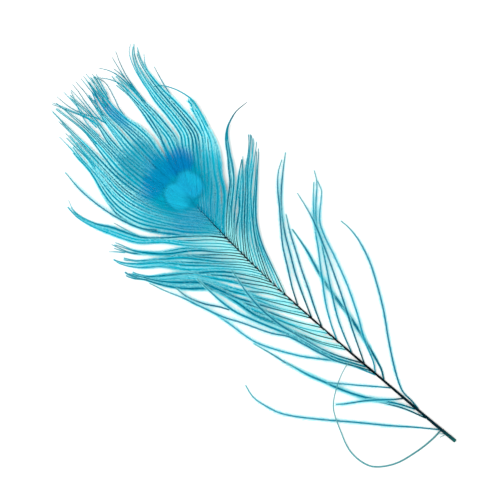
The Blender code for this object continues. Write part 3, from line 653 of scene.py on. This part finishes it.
# How each lock is filled: shares of the way from its lower edge to its upper edge where its barbs start, or
# how many there are; its number of common tips; the barbules' length near the root, in the middle and at the
# tip; how far the tips wander, in millimetres; and the shares of its length that its longest and shortest
# barbs lack.
VANE_FILL = {
    "left_lock_a": ([0, 0.04, 0.148, 0.235, 0.322, 0.461, 0.52, 0.583, 0.66, 0.722, 0.79, 0.861, 0.92, 0.974],
                    4, (2.3, 3.1, 1.0), 1.0, (0, 0.12)),
    "left_lock_b": ([0.08, 0.3, 0.5, 0.7, 0.9], 3, (2.1, 2.9, 0.9), 1.0, (0, 0.1)),
    "left_lock_c": ([0.12, 0.38, 0.64, 0.9], 2, (2.2, 2.7, 0.7), 0.9, (0, 0.12)),
    "left_lock_d": ([0.1, 0.38, 0.66, 0.94], 3, (1.9, 2.4, 0.8), 0.8, (0, 0.06)),
    "right_lock_a": ([0, 0.3, 0.6, 0.9], 1, (1.5, 1.7, 0.5), 0.5, (0, 0.1)),
    "right_lock_b": ([0.15, 0.5, 0.85], 2, (1.6, 1.6, 0.6), 0.8, (0, 0.06)),
    "right_lock_c": ([0.2, 0.5, 0.8], 2, (1.8, 2.0, 0.6), 0.8, (0, 0.05)),
    "right_lock_d": ([0.1, 0.37, 0.64, 0.9], 2, (1.9, 2.0, 0.5), 0.6, (0, 0.05)),
    "right_lock_curl": ([0.1, 0.36, 0.62, 0.9], 1, (1.9, 1.5, 0.0), 0.2, (0, 0.1)),
}
VANE_STALK = 0.6
LOWEST_STALK = 0.25                 # height of a vane barb's axis above the sheet, at least
TIP_PULL = 0.45                     # share of the way to its common tip that a barb drifts


def barb_count(fill):
    """How many barbs a lock has."""
    return len(fill) if isinstance(fill, list) else fill


def share_out(fill, rng):
    """Where a lock's barbs start, from its lower edge (0) to its upper edge (1)."""
    if isinstance(fill, list):
        return np.array(fill, float)
    shares = (np.arange(fill) + 0.5 + rng.normal(0, 0.12, fill)) / fill
    return np.clip(0.02 + 0.96 * shares, 0, 1)


def lock_lines(row, fill, tips, wander, short, rng):
    """The stalk of each barb in a lock, as n x 3 mm."""
    side, root_low, root_high, tip_height, lower, upper = row[1:]
    lower = [tuple(root(side, root_low))] + lower
    upper = [tuple(root(side, root_high))] + upper
    count = int(max(line_length(lower), line_length(upper)) / STEP) + 1
    low, high = smooth_line(lower, count), smooth_line(upper, count)
    s = np.linspace(0, 1, count)
    for share in share_out(fill, rng):
        home = (min(int(share * tips), tips - 1) + 0.5) / tips
        drift = share + (home - share) * TIP_PULL * ease((s - 0.45) / 0.55)
        drift += 0.05 * rng.normal() * np.sin(s * rng.uniform(5, 9) + rng.uniform(0, 6)) * ease(s / 0.3)
        flat = low + (high - low) * drift[:, None]
        start = root(side, root_low + (root_high - root_low) * share)
        flat += (start - flat[0]) * ((1 - s) ** 5)[:, None]
        ahead = np.gradient(flat, axis=0)
        aside = np.stack([-ahead[:, 1], ahead[:, 0]], axis=1) / np.linalg.norm(ahead, axis=1, keepdims=True)
        wave = rng.normal(0, 0.3) * np.sin(s * rng.uniform(6, 14) + rng.uniform(0, 6)) * ease(s / 0.25)
        flat += aside * (rng.normal(0, wander) * ease((s - 0.66) / 0.34) ** 2 + wave)[:, None]
        height = vane_height(flat)
        height += (tip_height - height) * ease((s - 0.72) / 0.28) + rng.normal(0, 0.18) * ease(s / 0.2)
        line = np.column_stack([flat, np.maximum(height, LOWEST_STALK)])
        yield line[: int(count * (1 - rng.uniform(*short)))]


def graded_fringe(near, middle, tip):
    """Barbules' length near a barb's root, along its middle and at its tip."""
    def length(share, place):
        filled = near + (middle - near) * ease((share - 0.2) / 0.35)
        return filled + (tip - middle) * ease((share - 0.7) / 0.25)
    return Fringe(length, angle=34, pitch=0.12, width=0.17, tip_width=0.75, shortest=0.45, lift=(0.18, -0.05))


# the light cyan outer barbules, and by the shaft the roots too, are painted light: light through thin barbules
# and the lit sheet between barbs
VANE_DYE = dyed_keratin("dyed_vane_keratin", root="#001018", stalk="#005468", deep="#0084A2",
                        thread="#00BCD4", painted_light="#ACFFFF", tip="#0E6472", root_share=0.3, pale_from=0.45,
                        pale_root=0.85)
rng = np.random.default_rng(11)
for group in ("left", "right"):
    rows = [row for row in VANE_LOCKS if row[0].startswith(group)]
    barbs = Strands(sum(barb_count(VANE_FILL[row[0]][0]) for row in rows))
    for row in rows:
        fill, tips, lengths, wander, short = VANE_FILL[row[0]]
        fringe = graded_fringe(*lengths)
        for line in lock_lines(row, fill, tips, wander, short, rng):
            barbs.barb(line, VANE_STALK, fringe, rng)
    barbs.finish(f"vane_{group}_barbs", VANE_DYE, [row[0] for row in rows])

# ---- Eye ---------------------------------------------------------------------------------------------------
# Round the end of the shaft the barbules are short and flat and lie like felt. The dye covered the natural
# bronze and green, but the old pattern still shows through it as blues: a teal disc, dark crescents above its
# middle, and a pale heart that the shaft runs into. Past the disc the barbs part again.
# Its locks are given as the vane's are, and filled as they are but for the barbules' lengths.
EYE_LOCKS = [
    ("eye_lock_left_edge", LEFT, 169.0, 175.0, 1.2,
     [(-9.5, 175.5), (-14, 180.5), (-18.5, 185.6), (-22.3, 191.5), (-28.5, 200.5), (-33, 208.5), (-35.5, 218),
      (-35.9, 223), (-34, 234), (-30, 245), (-28.7, 251), (-28.5, 258), (-26.8, 274)],
     [(-9, 182), (-14, 188.5), (-19, 195.5), (-23.5, 203.5), (-27, 212), (-29, 221), (-29.3, 230),
      (-28.3, 238), (-27.4, 245), (-27.3, 252), (-27.3, 258), (-26.0, 274)]),
    ("eye_lock_left_a", LEFT, 175.0, 182.5, 0.8,
     [(-9, 182), (-14, 188.5), (-19, 195.5), (-23.5, 203.5), (-27, 212), (-29, 221), (-29.3, 230),
      (-28.3, 238), (-27.2, 245), (-25.4, 254), (-24.6, 262), (-23.2, 272.5)],
     [(-8, 189), (-13, 196.5), (-17.5, 204.5), (-21, 213), (-23.2, 222), (-23.8, 231), (-23.4, 240),
      (-22.9, 254), (-22.4, 262), (-22.1, 272.5)]),
    ("eye_lock_left_b", LEFT, 182.5, 189.0, 1.8,
     [(-8, 189), (-13, 196.5), (-17.5, 204.5), (-21, 213), (-23.2, 222), (-23.8, 231), (-23.2, 240),
      (-21.4, 256), (-20.6, 267), (-19.4, 287.5)],
     [(-7, 195.5), (-11.5, 203), (-15.5, 211), (-18.3, 220), (-19.6, 230), (-19.9, 240), (-19.4, 256),
      (-18.9, 267), (-18.3, 287.5)]),
    ("eye_lock_left_c", LEFT, 189.0, 194.5, 1.0,
     [(-7, 195.5), (-11.5, 203), (-15.5, 211), (-18.3, 220), (-19.6, 230), (-19.6, 240), (-16.6, 257),
      (-15.3, 266), (-15.5, 278), (-15.9, 289.7)],
     [(-5.5, 201), (-8.5, 209), (-10.7, 218), (-11.8, 228), (-12.2, 238), (-11.2, 248), (-10.9, 255),
      (-10.9, 262), (-11.5, 270), (-12.7, 280), (-14.5, 289.7)]),
    ("eye_lock_left_d", LEFT, 194.5, 199.0, 1.4,
     [(-5.5, 201), (-8.5, 209), (-10.7, 218), (-11.8, 228), (-12.1, 238), (-11.2, 252), (-9.4, 259),
      (-7.8, 266), (-6.9, 274), (-6.8, 289)],
     [(-4, 206), (-5.7, 214), (-7, 223), (-7.9, 233), (-8.4, 241), (-7.2, 252), (-5.5, 262), (-4.8, 271),
      (-5.2, 280), (-5.6, 289)]),
    ("eye_lock_left_e", LEFT, 199.0, 202.3, 0.9,
     [(-4, 206), (-5.7, 214), (-7, 223), (-7.8, 233), (-7.9, 241), (-5.6, 254), (-3, 265), (-1.2, 272),
      (1.7, 279.5)],
     [(-2.6, 210), (-2.2, 220), (-1.6, 230), (-1.0, 240), (-0.7, 252), (-0.6, 262), (1.0, 270),
      (3.4, 279)]),
    ("eye_lock_crown", RIGHT, 203.2, 203.8, 1.6,
     [(-1.7, 213), (-1.4, 222), (-0.9, 231), (-0.3, 240), (0.4, 252), (0.2, 262), (1.6, 270), (4.1, 279),
      (5.6, 287)],
     [(2.0, 213), (4.6, 221.5), (6.6, 229), (8.3, 236), (8.2, 245), (6.9, 252), (6.9, 262), (8.5, 270),
      (11.3, 279), (12.6, 283.6)]),
    ("eye_lock_right_a", RIGHT, 197.0, 203.0, 1.0,
     [(2, 202.6), (7, 208.6), (12, 215.4), (16, 221.5), (18.5, 227), (20.2, 240), (20.3, 250), (20.8, 260),
      (21.6, 269), (21.6, 277.6)],
     [(2.3, 212.5), (5, 221), (7.2, 229), (9.2, 234.5), (12, 243), (14.2, 250), (15.7, 260), (16.7, 269),
      (18.3, 277)]),
    ("eye_lock_right_b", RIGHT, 184.0, 197.0, 0.3,
     [(1.5, 189.5), (7, 195), (13, 201), (19, 207), (24, 212), (28, 216.8), (30.4, 226), (31.7, 240.8),
      (31.7, 248), (33.2, 260), (34.7, 267), (38, 274), (41.3, 279.2)],
     [(2, 202.6), (7, 208.6), (12, 215.4), (16, 221.3), (19.6, 226), (22.4, 238.4), (23.6, 248), (25, 254),
      (28.4, 266), (33.9, 276), (40.4, 280.2)]),
    ("eye_lock_right_edge", RIGHT, 169.0, 184.0, 4.6,
     [(0.5, 173.8), (6, 178.5), (11, 182.8), (15, 187.5), (18.5, 193), (24.5, 200), (29.5, 207.5),
      (33, 217), (37, 228), (38.2, 234), (36.8, 242), (34.6, 248), (32.7, 251), (29.2, 254)],
     [(1.5, 189.5), (7, 195), (13, 201), (19, 207), (24, 212), (28.6, 216.4), (33.5, 227), (35.2, 234),
      (34.3, 241), (32.4, 246), (28.5, 252.5)]),
]
EYE_FILL = {
    "eye_lock_left_edge": ([0, 0.3, 0.6, 0.9], 2, 1.0, (0, 0.12)),
    "eye_lock_left_a": (4, 2, 0.8, (0, 0.12)),
    "eye_lock_left_b": (3, 2, 0.8, (0, 0.14)),
    "eye_lock_left_c": (5, 3, 1.2, (0, 0.14)),
    "eye_lock_left_d": (3, 2, 1.2, (0, 0.16)),
    "eye_lock_left_e": (5, 3, 1.0, (0, 0.12)),
    "eye_lock_crown": (9, 3, 0.8, (0, 0.10)),
    "eye_lock_right_a": (6, 3, 1.0, (0, 0.12)),
    "eye_lock_right_b": ([0.03, 0.18, 0.34, 0.5, 0.66, 0.82, 0.97], 3, 0.5, (0, 0.07)),
    "eye_lock_right_edge": (8, 3, 0.6, (0.18, 0.32)),
}
EYE_STALK = 0.66
DISC_CENTRE, DISC_HALF_SIZE = (-2.5, 207), (22, 25)
FELT_SOFTNESS, FELT_FEATHERING = 0.3, 6.0
ZONE_FEATHERING = 1.0
# centre, half size and strength of the felted patches: the disc, below it, above it, at its right and left
# edges, and the crown
FELT = [((-1.5, 208), (20, 21), 1.0), ((-5, 187), (18, 13), 0.75), ((-7, 230), (13, 12), 0.75),
        ((13, 196), (14, 21), 0.75), ((-20, 199), (11, 20), 0.6), ((3.4, 265), (3.2, 18), 0.7)]
# colour, centre, half size, softness and strength of each zone, from the back to the front
EYE_ZONES = [
    ("#0094AE", (0, 187), (24, 19), 0.5, 0.75),            # teal from the disc down to the vane
    ("#0090AC", (-6, 231), (15, 15), 0.7, 0.8),            # and up to where the barbs part
    ("#0098B4", DISC_CENTRE, DISC_HALF_SIZE, 0.25, 0.8),   # teal disc
    ("#008BB6", (-14, 190), (11, 7), 0.6, 0.5),            # blue below it on the left
    ("#008DB3", (-3, 187), (9, 5), 0.6, 0.5),
    ("#0086B6", (-8.5, 217.5), (11, 6.5), 0.35, 0.9),      # dark crescents above the heart
    ("#007CB6", (8.5, 216), (8.5, 7.5), 0.3, 0.95),
    ("#0088B4", (-1, 223), (8, 7), 0.6, 0.7),
    ("#008CBA", (3.6, 264), (2.8, 17), 0.6, 0.9),          # and the crown
    ("#007A98", (-5.8, 203.5), (7.9, 9.0), 0.12, 0.7),     # dark outline of the heart
    ("#007A98", (3.6, 203.0), (7.2, 9.2), 0.12, 0.7),
    ("#18ACCE", (-5.8, 203.5), (6.7, 7.8), 0.2, 1.0),      # its two lobes
    ("#16A8CE", (3.6, 203.0), (6.0, 8.0), 0.2, 1.0),
    ("#16BAD8", (6.6, 204.0), (2.6, 5.0), 0.8, 0.6),       # and their bright rims
    ("#16B8D4", (-8.3, 200.5), (3.4, 5.0), 0.8, 0.5),
    ("#0091B1", (-3.6, 194.5), (2.6, 5.5), 0.5, 0.6),      # notch where the shaft comes in
]


def zone(tree, place, tone, centre, half_size, soft, feathering):
    """1 inside an ellipse on the feather, 0 outside. Each barb shifts it by up to half of feathering."""
    x, y, _ = at(*centre)
    shift = add(tree, "ShaderNodeMath", {"operation": "MULTIPLY_ADD"}, _0=tone, _1=feathering * MM,
                _2=-feathering / 2 * MM)
    offset = add(tree, "ShaderNodeCombineXYZ", Y=shift.outputs[0])
    moved = add(tree, "ShaderNodeVectorMath", _0=place, _1=offset.outputs[0])
    inside = add(tree, "ShaderNodeVectorMath", {"operation": "SUBTRACT"}, _0=moved.outputs[0], _1=(x, y, 0))
    scaled = add(tree, "ShaderNodeVectorMath", {"operation": "MULTIPLY"}, _0=inside.outputs[0],
                 _1=(1 / (half_size[0] * MM), 1 / (half_size[1] * MM), 0))
    away = add(tree, "ShaderNodeVectorMath", {"operation": "LENGTH"}, _0=scaled.outputs[0])
    return add(tree, "ShaderNodeMapRange", {"interpolation_type": "SMOOTHSTEP"}, Value=away.outputs["Value"],
               From_Min=1 + soft, From_Max=1 - soft).outputs[0]


def eye_pattern(tree, place, tone, colour, painted_light_mask, stem):
    """The zones over the fringe. On the felted disc the stalks hardly show, and the painted light on the
    barbules' outer parts is lessened, and gone where the felt is full.
    """
    for dye, centre, half_size, soft, strength in EYE_ZONES:
        inside = zone(tree, place, tone, centre, half_size, soft, ZONE_FEATHERING)
        part = add(tree, "ShaderNodeMath", {"operation": "MULTIPLY"}, _0=inside, _1=strength)
        colour = add(tree, "ShaderNodeMix", IN_COLOUR, _0=part.outputs[0], _6=colour,
                     _7=linear(dye)).outputs[2]
    felt = 0.0
    for centre, half_size, strength in FELT:
        inside = zone(tree, place, tone, centre, half_size, FELT_SOFTNESS, FELT_FEATHERING)
        part = add(tree, "ShaderNodeMath", {"operation": "MULTIPLY"}, _0=inside, _1=strength)
        felt = add(tree, "ShaderNodeMath", {"operation": "MAXIMUM"}, _0=part.outputs[0], _1=felt).outputs[0]
    # the felt lessens the painted light of the outer barbules: light through them and the lit sheet between
    # them
    clear = add(tree, "ShaderNodeMapRange", Value=felt, To_Min=1.0, To_Max=0.0)
    painted_light_mask = add(tree, "ShaderNodeMath", {"operation": "MULTIPLY"}, _0=painted_light_mask, _1=clear.outputs[0])
    soften = add(tree, "ShaderNodeMath", {"operation": "MULTIPLY"}, _0=felt, _1=0.8)
    stem = add(tree, "ShaderNodeMix", IN_COLOUR, _0=soften.outputs[0], _6=stem, _7=colour)
    return colour, painted_light_mask.outputs[0], stem.outputs[2]


def eye_fringe(share, place):
    """Long on the disc, so that the barbules lie like felt, and short at the tips."""
    away = [np.linalg.norm((place[:, :2] - centre) / half_size, axis=1) for centre, half_size, _ in FELT]
    felted = np.max([strength * ease((1.3 - off) / 0.3) for off, (_, _, strength) in zip(away, FELT)], axis=0)
    return (1.95 + 0.4 * felted) * (1 - 0.75 * ease((place[:, 1] - 238) / 36))


EYE_FRINGE = Fringe(eye_fringe, angle=38, pitch=0.12, width=0.18, tip_width=0.95, shortest=0.75,
                    lift=(0.18, -0.05))
# the light cyan outer barbules are painted light, for light through thin barbules and the lit sheet between
# barbs; the felt takes most of it away
EYE_DYE = dyed_keratin("dyed_eye_keratin", root="#003848", stalk="#005670", deep="#008EAA", thread="#00BCD4",
                       painted_light="#B4FFFF", tip="#0E6472", root_share=0.12, pale_from=0.4, pattern=eye_pattern)
rng = np.random.default_rng(17)
for group, side in (("left", LEFT), ("right", RIGHT)):
    rows = [row for row in EYE_LOCKS if row[1] == side]
    barbs = Strands(sum(barb_count(EYE_FILL[row[0]][0]) for row in rows))
    for row in rows:
        for line in lock_lines(row, *EYE_FILL[row[0]], rng):
            barbs.barb(line, EYE_STALK, EYE_FRINGE, rng)
    barbs.finish(f"eye_{group}_barbs", EYE_DYE, [row[0] for row in rows])

# ---- Tip threads -------------------------------------------------------------------------------------------
# The last centimetres of the longest barbs wore thin. They stand out of their locks as frayed threads of
# keratin that cross each other.
# One row each: height at its root and at its tip, width, points.
TIP_THREADS = [
    ((1.6, 0.8), 0.55, [(-28.3, 248), (-27.5, 258), (-26.8, 266), (-26.3, 274)]),
    ((1.6, 0.8), 0.55, [(-25.2, 248), (-24, 257), (-23, 266), (-22.5, 273)]),
    ((1.6, 0.9), 0.55, [(-22.6, 248), (-21.6, 257), (-21, 266), (-20.5, 273), (-20.4, 280)]),
    ((1.6, 1.2), 0.55, [(-19.7, 256), (-19.4, 264), (-19.2, 272), (-18.8, 280), (-18.5, 287)]),
    ((1.8, 1.0), 0.55, [(-15.4, 256), (-14.6, 263), (-14.4, 270), (-15, 277), (-15.6, 284)]),
    ((1.8, 1.4), 0.55, [(-7.2, 262), (-7.6, 268), (-9, 273), (-11, 278), (-13, 284), (-15.3, 289.6)]),
    ((1.8, 1.6), 0.55, [(-7.4, 263), (-8.0, 268), (-9.6, 273), (-11.8, 278.5), (-13.8, 284), (-16, 289)]),
    ((1.6, 0.9), 0.55, [(-11.2, 258), (-10.8, 266), (-9.5, 272), (-8, 276.5), (-5.5, 282), (-3.6, 286.5)]),
    ((1.7, 1.1), 0.55, [(-3.4, 260), (-4.8, 266), (-7.2, 271), (-9.2, 276), (-10.6, 282), (-11, 290)]),
    ((1.6, 1.2), 0.55, [(-6.6, 260), (-5.4, 268), (-3.9, 276), (-2.9, 287)]),
    ((1.8, 1.3), 0.55, [(-4.2, 262), (-3.4, 270), (-2.3, 277), (-0.9, 283), (-0.2, 288.3)]),
    ((1.5, 0.8), 0.55, [(-8.6, 262), (-8.2, 270), (-7.4, 278), (-6.6, 289)]),
    ((1.8, 1.2), 0.55, [(-1.4, 264), (-0.4, 272), (1.2, 280), (2.1, 288)]),
    ((2.0, 1.4), 0.55, [(3, 266), (3.6, 274), (4.4, 281), (5.4, 287)]),
    ((2.0, 1.5), 0.55, [(4.6, 266), (5.3, 274), (6.3, 281), (7.3, 286.8)]),
    ((2.0, 1.5), 0.55, [(6, 266), (7, 274), (8.3, 281), (9.1, 286.7)]),
    ((2.0, 1.4), 0.55, [(7.4, 268), (8.9, 274), (10.5, 279.5), (11.4, 284.2)]),
    ((1.9, 1.2), 0.55, [(8.6, 270), (10.6, 276), (12.8, 282.5)]),
    ((1.9, 1.0), 0.55, [(5.8, 250), (7.4, 259.5), (9.9, 266), (12.6, 274.3), (12.4, 278.4), (10.6, 281.5)]),
    ((1.5, 0.8), 0.55, [(19.6, 258), (20.6, 266), (20.4, 273), (18.9, 279), (16.2, 283.8)]),
    ((1.5, 0.8), 0.55, [(20.8, 258), (21.6, 266), (22, 272), (21.5, 277.6)]),
    ((1.4, 0.9), 0.55, [(18.2, 262), (17.6, 270), (15.2, 276), (12, 280.5)]),
    ((1.5, 0.7), 0.55, [(19.4, 254), (20.6, 262), (22.4, 271), (24, 277), (25.6, 282.5)]),
    ((1.5, 0.7), 0.55, [(20, 252), (21.6, 262), (23.6, 270), (26.2, 277), (29.4, 283.3)]),
    ((2.0, 4.4), 0.95, [(33.2, 218), (36.6, 227), (38.2, 234), (37, 242), (34.6, 248), (32.2, 251.6),
                        (29.4, 253.9)]),
    ((1.3, 0.6), 0.55, [(31.4, 252), (32.6, 260), (35.2, 266.5), (39, 271)]),
    ((1.3, 0.6), 0.55, [(32, 244), (34.2, 252), (36, 257.5), (37.6, 262)]),
    ((1.3, 0.7), 0.55, [(25.4, 254), (27.2, 262), (29.8, 270), (33.6, 277), (37.8, 280)]),
    ((1.0, 0.6), 0.55, [(-48.2, 226), (-50.4, 234), (-51, 240), (-48.6, 246.5)]),
    ((0.8, 0.5), 0.55, [(-48.6, 204), (-51.6, 208), (-54.4, 211)]),
    ((1.5, 4.9), 0.9, [(34.8, 204.8), (40.3, 209.2), (47, 211.3), (50.5, 211.7), (57.5, 210.7)]),
    ((1.2, 0.8), 0.55, [(-36.6, 205), (-38.6, 211), (-40.7, 219.7)]),
]


def frayed(share, place):
    """Short barbules, shorter still towards the tip."""
    return 1.7 * (1 - 0.6 * share)


FRAYED = Fringe(frayed, angle=28, pitch=0.14, width=0.1, tip_width=0.5, shortest=0.3, lift=(0.2, 0.0))
rng = np.random.default_rng(31)
threads = Strands(len(TIP_THREADS))
for (low, high), width, points in TIP_THREADS:
    count = int(line_length(points) / STEP) + 2
    height = low + (high - low) * ease(np.linspace(0, 1, count))
    line = np.column_stack([smooth_line(points, count), height])
    threads.barb(line, width, FRAYED, rng)
# the light cyan of the barbules' outer part is painted light, for light through thin barbules and the lit sheet
# between them
THREAD_DYE = dyed_keratin("frayed_barb_keratin", root="#0090A8", stalk="#004C5A", deep="#10A0B8",
                          thread="#28C4D8", painted_light="#A8FAFC", tip="#1A5C66", root_share=0.8)
threads.finish("tip_threads", THREAD_DYE)

low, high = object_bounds()
{"cad": [list(CAD_BOX[0]), list(CAD_BOX[1])], "visual": [list(low), list(high)]}
